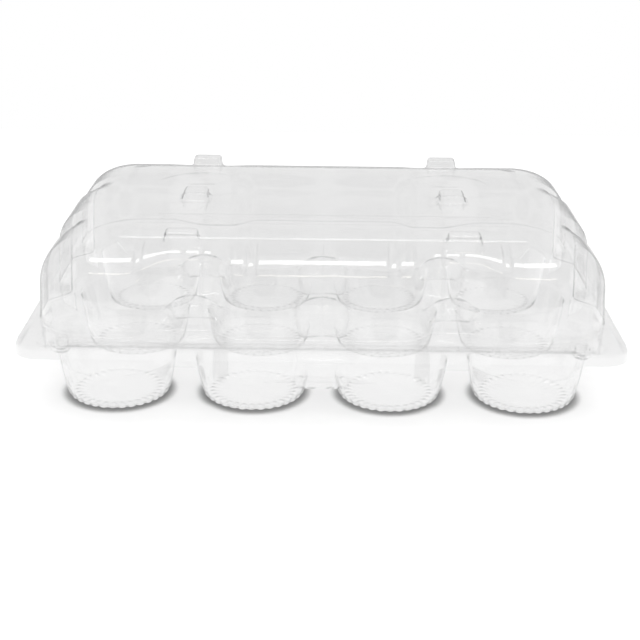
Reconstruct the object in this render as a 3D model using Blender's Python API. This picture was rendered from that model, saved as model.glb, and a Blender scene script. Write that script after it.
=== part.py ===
"""A clear hinged carton with twelve round cups under a tall lobed lid.

The carton is formed from thin plastic sheet. The tray holds four columns and three rows of
cups, with a flat flange and a turned-down skirt around them. The lid stands on that flange,
follows the cups with lobes, carries six stacking lugs and swings up on a living hinge at
the back. X runs along the long side, the front is -Y, and Z = 0 is the cups' underside.
"""

import bmesh
import bpy
import math
from mathutils import Vector

MM = 0.001

# Sheet and joins
SHEET = 0.6 * MM
GAP = 0.3 * MM
TRAY_COAT = (0.88, 0.9, 0.9), 0.1
LID_COAT = (0.9, 0.92, 0.92), 0.08
HINGE_COAT = (0.88, 0.9, 0.9), 0.14
TRANSMISSION = 0.9
PET_REFRACTION = 1.57
SHARP_DEG = 40.0

# Cups
COLUMN_PITCH = 80.5 * MM
ROW_PITCH = 80.0 * MM
COLUMNS = 4
ROWS = 3
CUP_FLOOR_RADIUS = 27.5 * MM
CUP_MOUTH_RADIUS = 36.2 * MM
CUP_FLARE = 2.2
CUP_RAYS = 24
CUP_WALL_PARTS = (0.0, 0.2, 0.55, 1.0)
DECK_PARTS = (0.3, 0.65, 1.0)
DECK_PARTS_AT_WALL = (0.9, 0.95, 1.0)
NEAR_WALL = 6.0 * MM
RAY_CLEARANCE_DEG = 5.0
RAY_LIMIT = 70.0 * MM
SEAM_TOLERANCE = 1.004
LEAST_STEP = 2.0 * MM
TRACE_STEPS = 240
TRACE_HALVINGS = 20

# Deck between the cups, as depths under the flange
FLANGE_Z = 46.0 * MM
ISLAND_DEPTH = 3.0 * MM
ROW_SADDLE_DEPTH = 12.0 * MM
COLUMN_SADDLE_DEPTH = 23.0 * MM
ISLAND_TOP_RADIUS = 9.0 * MM
ISLAND_FOOT_RADIUS = 22.0 * MM
SADDLE_BLEND = 16.0 * MM
SPINE_DEPTH = 35.0 * MM
SPINE_LEDGE_DEPTH = 26.0 * MM
SPINE_LEDGE_Y = 101.0 * MM

# Outer flange
FLANGE_HALF_X = 171.5 * MM
FLANGE_FRONT_Y = -131.3 * MM
FLANGE_BACK_Y = 128.7 * MM
FLANGE_CORNER = 14.0 * MM
SKIRT_DROP = 6.0 * MM
SKIRT_FLARE = 0.4 * MM
CORNER_STEPS = 8

# Lid
LID_TOP_Z = FLANGE_Z + 50.0 * MM
PANEL_HALF_X = 132.5 * MM
PANEL_HALF_Y = 82.5 * MM
PANEL_CORNER = 6.0 * MM
SHOULDER = 32.0 * MM
FRONT_FULLNESS = 2.0
SIDE_FULLNESS = 2.8
CORNER_FULLNESS = 2.3
FULL_UNTIL_Y = 20.0 * MM
FULLNESS_FADE = 40.0 * MM
TRAY_WALL = 31.0 * MM
WALL_DRAFT = 1.0 * MM
FOOT_LIP = 1.2 * MM
TRAY_RIM_CLEARANCE = 1.6 * GAP
LID_FOOT_CLEARANCE = 1.2 * GAP
TRAY_WALL_SLOPE = 30.0
SHOULDER_STEPS = 5
WALL_CORNER_STEPS = 4
LID_FLANGE_INSET = 0.8 * MM

# The lobes draw the outline in between neighbouring cups.
RECESS_DEPTH = 13.5 * MM
RECESS_EDGES = (48.0 * MM, 66.0 * MM, 84.0 * MM, 112.0 * MM)
VALLEY_DEPTH = 11.0 * MM
VALLEY_HALF_WIDTH = 18.0 * MM

# Stacking lugs: name, centre Y, width, length, all on the two outer column seams
LUG_X = COLUMN_PITCH
LUG_RISE = 6.0 * MM
LUG_DRAFT = 1.2 * MM
LUG_CLEARANCE = 1.5 * GAP
LUG_STEPS = 4
LUGS = (
    ("front", -86.5 * MM, 20.0 * MM, 12.0 * MM),
    ("middle", 0.0, 16.0 * MM, 15.0 * MM),
    ("back", 86.5 * MM, 20.0 * MM, 12.0 * MM),
)

# Snaps near the front corners
SNAP_X = 146.0 * MM
SNAP_Y = -121.0 * MM
SNAP_HOLE = 6.5 * MM
SOCKET_PROFILE = ((6.2, 0.0), (5.2, 0.0), (4.9, -4.4), (0.0, -4.4))
STUD_PROFILE = ((6.2, 0.0), (4.0, 0.0), (3.7, -4.0), (0.0, -4.0))
SNAP_SIDES = 20

# Living hinge: one leaf on each half, turning about a line just behind their edges
HINGE_HALF_X = 122.0 * MM
HINGE_BACK_Y = -FLANGE_FRONT_Y
HINGE_AXIS_Y = HINGE_BACK_Y + GAP
HINGE_AXIS_Z = FLANGE_Z + GAP / 2

COLUMN_SEAMS = [(i - COLUMNS / 2) * COLUMN_PITCH for i in range(1, COLUMNS)]
ROW_SEAMS = [(i - ROWS / 2) * ROW_PITCH for i in range(1, ROWS)]


def smooth(t):
    """0 up to t = 0, 1 from t = 1, with a soft start and end."""
    t = min(max(t, 0.0), 1.0)
    return t * t * (3 - 2 * t)


def mix(a, b, t):
    return a + (b - a) * t


# ---- Outline shared by the tray's wall and the lid ----


def past_panel(x, y):
    """Distance outside the lid's flat top panel, a rectangle with rounded corners."""
    qx = abs(x) - (PANEL_HALF_X - PANEL_CORNER)
    qy = abs(y) - (PANEL_HALF_Y - PANEL_CORNER)
    if qx > 0 and qy > 0:
        return math.hypot(qx, qy) - PANEL_CORNER
    return max(qx, qy) - PANEL_CORNER


def lobe_inset(x, y):
    """How far the outline is drawn in at this point, between two lobes."""
    qx = abs(x) - (PANEL_HALF_X - PANEL_CORNER)
    qy = abs(y) - (PANEL_HALF_Y - PANEL_CORNER)
    if qy >= qx:
        inner_low, inner_high, outer_high, outer_low = RECESS_EDGES
        rising = smooth((abs(x) - inner_low) / (inner_high - inner_low))
        falling = smooth((abs(x) - outer_high) / (outer_low - outer_high))
        return RECESS_DEPTH * (rising - falling)
    off_seam = min(abs(y - seam) for seam in ROW_SEAMS) / VALLEY_HALF_WIDTH
    return VALLEY_DEPTH * 0.5 * (1 + math.cos(math.pi * min(off_seam, 1.0)))


# ---- Height of the tray's sheet ----


def cup_height(distance):
    """Inside of a cup: a flat floor, then a wall that flares into a steep cone."""
    out = (distance - CUP_FLOOR_RADIUS) / (CUP_MOUTH_RADIUS - CUP_FLOOR_RADIUS)
    return mix(SHEET, FLANGE_Z, max(out, 0.0) ** CUP_FLARE)


def deck_height(x, y):
    """Deck between the cups: raised islands where four meet, and lower saddles between two."""
    off_column = min(abs(x - seam) for seam in COLUMN_SEAMS)
    off_row = min(abs(y - seam) for seam in ROW_SEAMS)
    column_saddle = COLUMN_SADDLE_DEPTH
    if abs(x) < COLUMN_PITCH / 2:
        column_saddle = SPINE_LEDGE_DEPTH if abs(y) > SPINE_LEDGE_Y else SPINE_DEPTH
    beside = smooth((off_row - off_column) / SADDLE_BLEND + 0.5)
    depth = mix(ROW_SADDLE_DEPTH, column_saddle, beside)
    from_island = math.hypot(off_column, off_row) - ISLAND_TOP_RADIUS
    raised = smooth(from_island / (ISLAND_FOOT_RADIUS - ISLAND_TOP_RADIUS))
    return FLANGE_Z - mix(ISLAND_DEPTH, depth, raised)


def inside_outline(x, y):
    """Distance inside the outline where the tray's outer wall meets the flange."""
    return TRAY_WALL - lobe_inset(x, y) - past_panel(x, y)


def wall_height(x, y):
    """Height of the tray's steep outer wall, if it reached this point."""
    return FLANGE_Z - TRAY_WALL_SLOPE * max(inside_outline(x, y), 0.0)


# ---- Building helpers ----


def clear_coat(name, coat):
    """Clear formed plastic, from a tint and a roughness."""
    tint, roughness = coat
    material = bpy.data.materials.new(name)
    material.use_nodes = True
    shader = material.node_tree.nodes["Principled BSDF"]
    shader.inputs["Base Color"].default_value = (*tint, 1.0)
    shader.inputs["Roughness"].default_value = roughness
    shader.inputs["Metallic"].default_value = 0.0
    shader.inputs["Transmission Weight"].default_value = TRANSMISSION
    shader.inputs["IOR"].default_value = PET_REFRACTION
    return material


def thicken(bm):
    """Gives the sheet its thickness behind its show face, with upright cuts around the cups."""
    bmesh.ops.triangulate(bm, faces=bm.faces, quad_method="SHORT_EDGE")
    bm.normal_update()
    shown = list(bm.faces)
    rim = [loop for face in shown for loop in face.loops if loop.edge.is_boundary]
    back = {}
    for vert in list(bm.verts):
        inward = -vert.normal
        if vert.is_boundary:
            off_column = min(abs(vert.co.x - seam) for seam in COLUMN_SEAMS)
            off_row = min(abs(vert.co.y - seam) for seam in ROW_SEAMS)
            if off_column < GAP:
                inward.x = 0
            if off_row < GAP:
                inward.y = 0
            if abs(vert.co.z - FLANGE_Z) < GAP:
                inward = Vector((0, 0, -1))
        back[vert] = bm.verts.new(vert.co + inward * SHEET)
    sides = [(loop.vert, loop.link_loop_next.vert) for loop in rim]
    for face in shown:
        bm.faces.new([back[vert] for vert in reversed(face.verts)])
    for a, b in sides:
        bm.faces.new((b, a, back[a], back[b]))


def sheet_object(name, bm, parent, coat, pivot=Vector((0, 0, 0))):
    """One named piece of formed sheet. The mesh it is given is its show face."""
    thicken(bm)
    mesh = bpy.data.meshes.new(name)
    bmesh.ops.translate(bm, verts=bm.verts, vec=-pivot)
    bm.to_mesh(mesh)
    bm.free()
    mesh.shade_smooth()
    mesh.set_sharp_from_angle(angle=math.radians(SHARP_DEG))
    mesh.materials.append(clear_coat(name, coat))
    piece = bpy.data.objects.new(name, mesh)
    bpy.context.scene.collection.objects.link(piece)
    piece.parent = parent


def grid_faces(bm, rows, closed=False):
    """Joins rows of points with quads, and the last row to the first if closed."""
    made = [[bm.verts.new(point) for point in row] for row in rows]
    last = len(made) if closed else len(made) - 1
    for i in range(last):
        here, after = made[i], made[(i + 1) % len(made)]
        for j in range(len(here) - 1):
            bm.faces.new((here[j], after[j], after[j + 1], here[j + 1]))
    return made


def close_ring(bm, ring):
    """Closes a ring of points with triangles to its middle."""
    middle = bm.verts.new(sum((vert.co for vert in ring), Vector()) / len(ring))
    for a, b in zip(ring, ring[1:] + ring[:1], strict=True):
        bm.faces.new((a, b, middle))


def face_along(bm, direction):
    """Turns all faces consistently, so that they look along direction on the whole."""
    bmesh.ops.recalc_face_normals(bm, faces=bm.faces)
    total = sum((face.normal * face.calc_area() for face in bm.faces), Vector())
    if total.dot(direction) < 0:
        bmesh.ops.reverse_faces(bm, faces=bm.faces)


def plate_with_holes(outer, holes):
    """A flat sheet inside one loop of points and outside the others."""
    bm = bmesh.new()
    edges = []
    outer_edges = []
    for index, loop in enumerate([outer, *holes]):
        made = [bm.verts.new(point) for point in loop]
        ring = [bm.edges.new((a, b)) for a, b in zip(made, made[1:] + made[:1], strict=True)]
        edges += ring
        if index == 0:
            outer_edges = ring
    bmesh.ops.triangle_fill(bm, use_beauty=True, use_dissolve=False, edges=edges)
    face_along(bm, Vector((0, 0, 1)))
    return bm, outer_edges


def rounded_rectangle(low_x, low_y, high_x, high_y, corner, z):
    """Points around a rectangle with round corners, anticlockwise from the right front."""
    centres = (
        (high_x - corner, low_y + corner, -90),
        (high_x - corner, high_y - corner, 0),
        (low_x + corner, high_y - corner, 90),
        (low_x + corner, low_y + corner, 180),
    )
    points = []
    for x, y, start in centres:
        for step in range(CORNER_STEPS + 1):
            angle = math.radians(start + 90 * step / CORNER_STEPS)
            points.append(Vector((x + corner * math.cos(angle), y + corner * math.sin(angle), z)))
    return points


def circle(x, y, radius, z, sides):
    turns = (2 * math.pi * i / sides for i in range(sides))
    return [Vector((x + radius * math.cos(t), y + radius * math.sin(t), z)) for t in turns]


# ---- Tray ----


def tray_height(x, y, centre):
    """Upper face of the tray's sheet near one cup."""
    floor = min(deck_height(x, y), cup_height((Vector((x, y)) - centre).length))
    return max(floor, wall_height(x, y))


def first_crossing(start, along, length, test):
    """How far from start the test first holds, or None if it doesn't within this length."""
    step = length / TRACE_STEPS
    tries = (i * step for i in range(1, TRACE_STEPS + 1))
    after = next((reach for reach in tries if test(*(start + along * reach))), None)
    if after is None:
        return None
    before = after - step
    for _ in range(TRACE_HALVINGS):
        middle = (before + after) / 2
        before, after = (before, middle) if test(*(start + along * middle)) else (middle, after)
    return before


def past_lip(x, y):
    return inside_outline(x, y) < -FOOT_LIP


def on_wall(x, y):
    return wall_height(x, y) > deck_height(x, y)


def cup_centre(column, row):
    return Vector(((column - (COLUMNS - 1) / 2) * COLUMN_PITCH, (row - (ROWS - 1) / 2) * ROW_PITCH))


def ray_angles(column, row):
    """Directions for one cup's rays: evenly spaced, with some turned to meet its share's corners."""
    centre = cup_centre(column, row)
    half_x, half_y = (COLUMN_PITCH - GAP) / 2, (ROW_PITCH - GAP) / 2
    exact = []
    for u in (-1, 1):
        for v in (-1, 1):
            beside = 0 <= column + u < COLUMNS
            behind = 0 <= row + v < ROWS
            if beside and behind:
                exact.append(Vector((u * half_x, v * half_y)))
            elif beside or behind:
                on_seam = Vector((u * half_x, 0)) if beside else Vector((0, v * half_y))
                along = Vector((0, v)) if beside else Vector((u, 0))
                for test in (on_wall, past_lip):
                    reach = first_crossing(centre + on_seam, along, RAY_LIMIT, test)
                    exact.append(on_seam + along * reach)
    angles = [math.atan2(point.y, point.x) for point in exact]
    even = [2 * math.pi * i / CUP_RAYS - math.pi for i in range(CUP_RAYS)]
    apart = math.radians(RAY_CLEARANCE_DEG)
    clear = [turn for turn in even if all(abs(turn - other) > apart for other in angles)]
    return sorted(angles + clear)


def cup_ray(column, row, angle):
    """Points on the tray's sheet from one cup's centre out to the edge of its share."""
    centre = cup_centre(column, row)
    along = Vector((math.cos(angle), math.sin(angle)))
    sides = (
        (along.x, column < COLUMNS - 1, COLUMN_PITCH),
        (-along.x, column > 0, COLUMN_PITCH),
        (along.y, row < ROWS - 1, ROW_PITCH),
        (-along.y, row > 0, ROW_PITCH),
    )
    seams = [(pitch - GAP) / 2 / toward for toward, shared, pitch in sides if shared and toward > 1e-6]
    limit = min(seams, default=RAY_LIMIT)

    def leaves_cup(x, y):
        cup = cup_height((Vector((x, y)) - centre).length)
        return min(cup, deck_height(x, y)) < cup or wall_height(x, y) > cup

    brim = first_crossing(centre, along, limit, leaves_cup)
    floor = min(CUP_FLOOR_RADIUS, brim - LEAST_STEP)
    reaches = [CUP_FLOOR_RADIUS / 2] + [mix(floor, brim, part) for part in CUP_WALL_PARTS]
    end = first_crossing(centre, along, limit * SEAM_TOLERANCE, past_lip)
    if end is None:
        near_wall = inside_outline(*(centre + along * limit)) < NEAR_WALL
        reaches += [mix(brim, limit, part) for part in (DECK_PARTS_AT_WALL if near_wall else DECK_PARTS)]
    else:
        end = min(end, limit)
        top = first_crossing(centre, along, end, lambda x, y: inside_outline(x, y) < 0)
        foot = first_crossing(centre, along, end, on_wall)
        if foot < brim + LEAST_STEP:
            foot = mix(brim, top, 0.5)
        reaches += [foot, top, end]
    points = []
    for reach in reaches:
        x, y = centre + along * reach
        points.append(Vector((x, y, tray_height(x, y, centre))))
    if end is not None:
        points[-1].z = FLANGE_Z
    return points, end is not None


def build_cup(column, row, parent):
    """A cup with its share of the deck. Returns the points on the tray's outer rim."""
    bm = bmesh.new()
    rays = []
    rim = []
    for angle in ray_angles(column, row):
        ray, on_rim = cup_ray(column, row, angle)
        rays.append(ray)
        if on_rim:
            rim.append(ray[-1])
    made = grid_faces(bm, rays, closed=True)
    close_ring(bm, [ray[0] for ray in made])
    face_along(bm, Vector((0, 0, 1)))
    name = f"cup_row{row + 1}_column{column + 1}"
    sheet_object(name, bm, parent, TRAY_COAT)
    return rim


def build_tray_flange(rim, parent):
    """Flat flange around the cups, with its turned-down skirt and the holes for the sockets."""
    ordered = sorted(rim, key=lambda point: math.atan2(point.y, point.x))
    inner = []
    for i, point in enumerate(ordered):
        along = ordered[(i + 1) % len(ordered)] - ordered[i - 1]
        outward = Vector((along.y, -along.x, 0)).normalized()
        inner.append(point + outward * TRAY_RIM_CLEARANCE)
    outer = rounded_rectangle(
        -FLANGE_HALF_X + SKIRT_FLARE,
        FLANGE_FRONT_Y + SKIRT_FLARE,
        FLANGE_HALF_X - SKIRT_FLARE,
        FLANGE_BACK_Y,
        FLANGE_CORNER,
        FLANGE_Z,
    )
    holes = [circle(side * SNAP_X, SNAP_Y, SNAP_HOLE, FLANGE_Z, SNAP_SIDES) for side in (-1, 1)]
    bm, outer_edges = plate_with_holes(outer, [inner, *holes])
    skirt = bmesh.ops.extrude_edge_only(bm, edges=outer_edges)["geom"]
    for vert in [item for item in skirt if isinstance(item, bmesh.types.BMVert)]:
        vert.co.z -= SKIRT_DROP
        vert.co.x += math.copysign(SKIRT_FLARE, vert.co.x)
        if vert.co.y < 0:
            vert.co.y -= SKIRT_FLARE
    face_along(bm, Vector((0, 0, 1)))
    sheet_object("tray_flange", bm, parent, TRAY_COAT)


def turned(profile, x, y, z):
    """A surface turned about a vertical line, from points of radius and height in millimetres."""
    bm = bmesh.new()
    spokes = []
    for i in range(SNAP_SIDES):
        turn = 2 * math.pi * i / SNAP_SIDES
        spokes.append([
            Vector((x + r * MM * math.cos(turn), y + r * MM * math.sin(turn), z + h * MM))
            for r, h in profile[:-1]
        ])
    made = grid_faces(bm, spokes, closed=True)
    close_ring(bm, [spoke[-1] for spoke in made])
    face_along(bm, Vector((0, 0, 1)))
    return bm


def build_snaps(base, lid, pivot):
    """A socket in the tray's flange and a stud in the lid's at each front corner."""
    for side, word in ((-1, "left"), (1, "right")):
        socket = turned(SOCKET_PROFILE, side * SNAP_X, SNAP_Y, FLANGE_Z)
        sheet_object(f"snap_socket_{word}", socket, base, TRAY_COAT)
        stud = turned(STUD_PROFILE, side * SNAP_X, SNAP_Y, FLANGE_Z + GAP + SHEET)
        sheet_object(f"snap_stud_{word}", stud, lid, LID_COAT, pivot)


def build_hinge(base, lid, pivot):
    """The two leaves of the living hinge."""
    leaves = (
        ("hinge_leaf_tray", base, FLANGE_Z, Vector((0, 0, 0))),
        ("hinge_leaf_lid", lid, FLANGE_Z + GAP + SHEET, pivot),
    )
    for name, parent, z, origin in leaves:
        bm = bmesh.new()
        rows = [
            [Vector((x, y, z)) for y in (FLANGE_BACK_Y + GAP, HINGE_BACK_Y)]
            for x in (-HINGE_HALF_X, 0.0, HINGE_HALF_X)
        ]
        grid_faces(bm, rows)
        face_along(bm, Vector((0, 0, 1)))
        sheet_object(name, bm, parent, HINGE_COAT, origin)


# ---- Lid ----


def lid_height(x, y):
    """Upper face of the lid over the top panel and its rounded shoulders."""
    out = past_panel(x, y)
    if out <= 0:
        return LID_TOP_Z
    span = SHOULDER - lobe_inset(x, y)
    return LID_TOP_Z - span * (1 - math.sqrt(max(1 - (out / span) ** 2, 0.0)))


def shoulder_fullness(panel_edge, outward):
    """2 makes the shoulder round, and more makes it fuller, most at the middle of the lid's ends."""
    towards_corner = smooth((abs(panel_edge.y) - FULL_UNTIL_Y) / FULLNESS_FADE)
    return mix(FRONT_FULLNESS, mix(SIDE_FULLNESS, CORNER_FULLNESS, towards_corner), abs(outward.x))


def lid_profile(panel_edge, outward):
    """One upright section of the lid, from the top panel's edge out to the foot."""
    side = panel_edge + outward * SHOULDER
    span = SHOULDER - lobe_inset(side.x, side.y)
    power = 2 / shoulder_fullness(panel_edge, outward)
    points = []
    for step in range(SHOULDER_STEPS + 1):
        turn = math.pi / 2 * step / SHOULDER_STEPS
        rise = LID_TOP_Z - span * (1 - math.cos(turn) ** power)
        out = span * math.sin(turn) ** power
        points.append((panel_edge + outward * out).to_3d() + Vector((0, 0, rise)))
    foot = FLANGE_Z + GAP + SHEET
    for out in (span + WALL_DRAFT, span + WALL_DRAFT + FOOT_LIP):
        points.append((panel_edge + outward * out).to_3d() + Vector((0, 0, foot)))
    return points


def wall_stations(half_length, count):
    """Places along one side of the panel, from one corner's middle to the other's."""
    inner = half_length - PANEL_CORNER
    corner = [math.radians(45 * i / WALL_CORNER_STEPS) for i in range(1, WALL_CORNER_STEPS + 1)]
    straight = [mix(-inner, inner, i / count) for i in range(count + 1)]
    before = [(-inner, -turn) for turn in reversed(corner)]
    after = [(inner, turn) for turn in corner]
    return before + [(along, 0.0) for along in straight] + after


def build_lid_wall(name, half_length, half_width, quarter, count, parent, pivot):
    """One side of the lid with its shoulder. quarter turns it to the front, right, back or left."""
    bm = bmesh.new()
    facing = math.radians(-90 + 90 * quarter)
    normal = Vector((math.cos(facing), math.sin(facing)))
    tangent = Vector((-normal.y, normal.x))
    rows = []
    for along, turn in wall_stations(half_length, count):
        outward = normal * math.cos(turn) + tangent * math.sin(turn)
        centre = tangent * along + normal * (half_width - PANEL_CORNER)
        rows.append(lid_profile(centre + outward * (PANEL_CORNER + GAP / 2), outward))
    for row, sign in ((rows[0], 1), (rows[-1], -1)):
        shift = (tangent + sign * normal).normalized() * sign * GAP / 2
        row[:] = [point + shift.to_3d() for point in row]
    grid_faces(bm, rows)
    face_along(bm, normal.to_3d() + Vector((0, 0, 1)))
    sheet_object(name, bm, parent, LID_COAT, pivot)
    return [row[-1] for row in rows]


def build_lid_walls(parent, pivot):
    """The four sides. Returns the points of the lid's foot, in order."""
    sides = (
        ("lid_front_wall", PANEL_HALF_X, PANEL_HALF_Y, 0, 36),
        ("lid_right_wall", PANEL_HALF_Y, PANEL_HALF_X, 1, 24),
        ("lid_back_wall", PANEL_HALF_X, PANEL_HALF_Y, 2, 36),
        ("lid_left_wall", PANEL_HALF_Y, PANEL_HALF_X, 3, 24),
    )
    foot = []
    for name, half_length, half_width, quarter, count in sides:
        foot += build_lid_wall(name, half_length, half_width, quarter, count, parent, pivot)
    return foot


def build_lid_top(parent, pivot):
    half_x, half_y = PANEL_HALF_X - GAP / 2, PANEL_HALF_Y - GAP / 2
    loop = rounded_rectangle(-half_x, -half_y, half_x, half_y, PANEL_CORNER, LID_TOP_Z)
    bm = bmesh.new()
    close_ring(bm, [bm.verts.new(point) for point in loop])
    face_along(bm, Vector((0, 0, 1)))
    sheet_object("lid_top_panel", bm, parent, LID_COAT, pivot)


def build_lid_flange(foot, parent, pivot):
    """Flat flange around the lid's foot, resting on the tray's."""
    inner = []
    for i, point in enumerate(foot):
        along = foot[(i + 1) % len(foot)] - foot[i - 1]
        outward = Vector((along.y, -along.x, 0)).normalized()
        inner.append(point + outward * LID_FOOT_CLEARANCE)
    z = FLANGE_Z + GAP + SHEET
    outer = rounded_rectangle(
        -FLANGE_HALF_X + LID_FLANGE_INSET,
        FLANGE_FRONT_Y + LID_FLANGE_INSET,
        FLANGE_HALF_X - LID_FLANGE_INSET,
        FLANGE_BACK_Y,
        FLANGE_CORNER,
        z,
    )
    holes = [circle(side * SNAP_X, SNAP_Y, SNAP_HOLE, z, SNAP_SIDES) for side in (-1, 1)]
    bm, _ = plate_with_holes(outer, [inner, *holes])
    sheet_object("lid_flange", bm, parent, LID_COAT, pivot)


def build_lug(name, x, y, width, length, parent, pivot):
    """A hollow block that stands on the lid and keeps the next carton in place."""
    corners = [(-1, -1), (1, -1), (1, 1), (-1, 1)]
    foot = []
    for (ax, ay), (bx, by) in zip(corners, corners[1:] + corners[:1], strict=True):
        for step in range(LUG_STEPS):
            part = step / LUG_STEPS
            foot.append((mix(ax, bx, part), mix(ay, by, part)))
    top_z = LID_TOP_Z + LUG_RISE
    columns = []
    for u, v in foot:
        at_x, at_y = x + u * width / 2, y + v * length / 2
        low = Vector((at_x, at_y, lid_height(at_x, at_y) + LUG_CLEARANCE))
        top = Vector((at_x - u * LUG_DRAFT, at_y - v * LUG_DRAFT, top_z))
        columns.append([low, top])
    bm = bmesh.new()
    made = grid_faces(bm, columns, closed=True)
    close_ring(bm, [column[-1] for column in made])
    face_along(bm, Vector((0, 0, 1)))
    sheet_object(name, bm, parent, LID_COAT, pivot)


def build_lugs(parent, pivot):
    for place, y, width, length in LUGS:
        for side, word in ((-1, "left"), (1, "right")):
            build_lug(f"stacking_lug_{place}_{word}", side * LUG_X, y, width, length, parent, pivot)


def main():
    for old in list(bpy.data.objects):
        bpy.data.objects.remove(old)
    pivot = Vector((0, HINGE_AXIS_Y, HINGE_AXIS_Z))
    base = bpy.data.objects.new("base", None)
    lid = bpy.data.objects.new("lid", None)
    lid.location = pivot
    for empty in (base, lid):
        bpy.context.scene.collection.objects.link(empty)

    rim = []
    for row in range(ROWS):
        for column in range(COLUMNS):
            rim += build_cup(column, row, base)
    build_tray_flange(rim, base)
    foot = build_lid_walls(lid, pivot)
    build_lid_top(lid, pivot)
    build_lid_flange(foot, lid, pivot)
    build_lugs(lid, pivot)
    build_snaps(base, lid, pivot)
    build_hinge(base, lid, pivot)


main()
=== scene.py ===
"""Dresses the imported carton: clear formed sheet for the tray and the lid, on a pale floor."""

import math
import bmesh
import bpy
import numpy as np
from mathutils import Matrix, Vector


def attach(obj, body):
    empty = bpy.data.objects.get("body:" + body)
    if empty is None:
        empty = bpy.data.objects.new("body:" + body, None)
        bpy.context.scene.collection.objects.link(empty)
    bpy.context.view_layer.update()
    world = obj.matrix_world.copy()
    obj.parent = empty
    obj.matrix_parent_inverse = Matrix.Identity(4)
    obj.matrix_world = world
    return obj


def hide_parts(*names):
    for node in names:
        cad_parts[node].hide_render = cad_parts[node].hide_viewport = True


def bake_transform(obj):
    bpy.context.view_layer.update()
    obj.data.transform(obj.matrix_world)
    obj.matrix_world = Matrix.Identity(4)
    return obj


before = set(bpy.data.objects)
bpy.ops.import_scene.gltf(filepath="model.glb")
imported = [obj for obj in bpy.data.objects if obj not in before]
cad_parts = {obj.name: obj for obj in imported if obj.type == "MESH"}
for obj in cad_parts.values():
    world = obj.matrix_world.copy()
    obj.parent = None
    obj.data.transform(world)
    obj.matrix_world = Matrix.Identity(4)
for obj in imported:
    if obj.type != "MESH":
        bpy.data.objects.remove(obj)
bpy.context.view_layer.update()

MM = 0.001
SHEET = 0.5 * MM

# Cups and deck, as in the model
COLUMN_PITCH, ROW_PITCH = 80.5 * MM, 80.0 * MM
COLUMNS, ROWS = 4, 3
FLANGE_Z = 46.0 * MM
FLOOR_Z = 0.6 * MM
FLOOR_RADIUS, MOUTH_RADIUS, FLARE = 27.5 * MM, 36.2 * MM, 2.2
ISLAND_DEPTH, ROW_SADDLE, COLUMN_SADDLE = 3.0 * MM, 12.0 * MM, 23.0 * MM
ISLAND_TOP, ISLAND_FOOT, SADDLE_BLEND = 8.0 * MM, 21.0 * MM, 14.0 * MM
SPINE, SPINE_LEDGE, SPINE_LEDGE_Y = 35.0 * MM, 26.0 * MM, 101.0 * MM
TRAY_WALL, TRAY_SLOPE, LIP = 31.0 * MM, 30.0, 1.2 * MM
COLUMN_SEAMS = np.array([-1, 0, 1]) * COLUMN_PITCH
ROW_SEAMS = np.array([-0.5, 0.5]) * ROW_PITCH

# Scallops round each cup's foot, and the bead inside each of them
SCALLOPS, MEAN_RIDGE = 32, 0.6
SCALLOP_RADIUS, SCALLOP_WIDTH, SCALLOP_TOP, SCALLOP_DEPTH = 27.3 * MM, 2.6 * MM, 16.0 * MM, 1.69 * MM
BEAD_RADIUS, BEAD_WIDTH, BEAD_HEIGHT = 24.5 * MM, 2.2 * MM, 1.5 * MM

# Where two surfaces of the tray meet, the corner is cut this far back and rounded
BRIM_ROUND, FOOT_ROUND, TOP_ROUND = 1.8 * MM, 1.6 * MM, 1.2 * MM

# Flange, and the profile of its bead, rolled edge and skirt: millimetres in from the outline and up
HALF_X, FRONT_Y, BACK_Y = 171.5 * MM, -131.3 * MM, 128.7 * MM
CORNER = 14.0 * MM
FLANGE_EDGE = (
    *((4.2, 0.0), (3.6, 0.04), (3.0, 0.14), (2.4, 0.04), (1.9, 0.0), (1.0, 0.0)),
    *((0.55, -0.12), (0.3, -0.45), (0.2, -1.0), (0.1, -3.0), (0.0, -5.3), (0.0, -6.0)),
)

# Snap closures at the front corners: millimetres from the axis, and up from the flange
SNAP_X, SNAP_Y, SNAP_RADIUS = 145.6 * MM, -120.6 * MM, 5.8 * MM
SOCKET_PROFILE = ((5.8, 0.0), (5.4, -0.25), (5.1, -0.8), (4.9, -3.6), (4.3, -4.3), (0.02, -4.4))
STUD_PROFILE = (
    *((7.0, 0.06), (6.2, 0.08), (5.2, 0.22), (4.6, 0.3), (4.2, 0.1)),
    *((3.9, -1.0), (3.7, -3.2), (3.1, -3.7), (0.02, -3.8)),
)

# Lid
LID_Z = FLANGE_Z + 50.0 * MM
PANEL_X, PANEL_Y, PANEL_CORNER = 132.5 * MM, 82.5 * MM, 6.0 * MM
SHOULDER = 32.0 * MM
# The shoulder is a little less deep than it is wide, and the wall below it leans out
SHOULDER_FLATTENED, WALL_FLARE = 0.5 * MM, 1.0 * MM
# The wall ends this far over the flange, in a fillet: millimetres out from the wall, and up
WALL_END = 1.2 * MM
FILLET_OUT, FILLET_UP = np.array([0.12, 0.45, 1.1]) * MM, np.array([0.55, 0.14, 0.0]) * MM
LID_FLANGE_INSET = 0.8 * MM
# Rows of points across the lid flange, as parts of the way to its edge
FLANGE_PARTS = (0.25, 0.5, 0.75, 0.9, 1.0)
EDGE_STEP = 1.0 * MM
EDGE_WIDTH, END_EDGE_WIDTH, END_EDGE_X, END_EDGE_FADE = 1.5 * MM, 9.0 * MM, 116.0 * MM, 12.0 * MM
PANEL_Z = LID_Z + 0.5 * MM
LID_FOOT_Z = FLANGE_Z + 0.9 * MM
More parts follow.
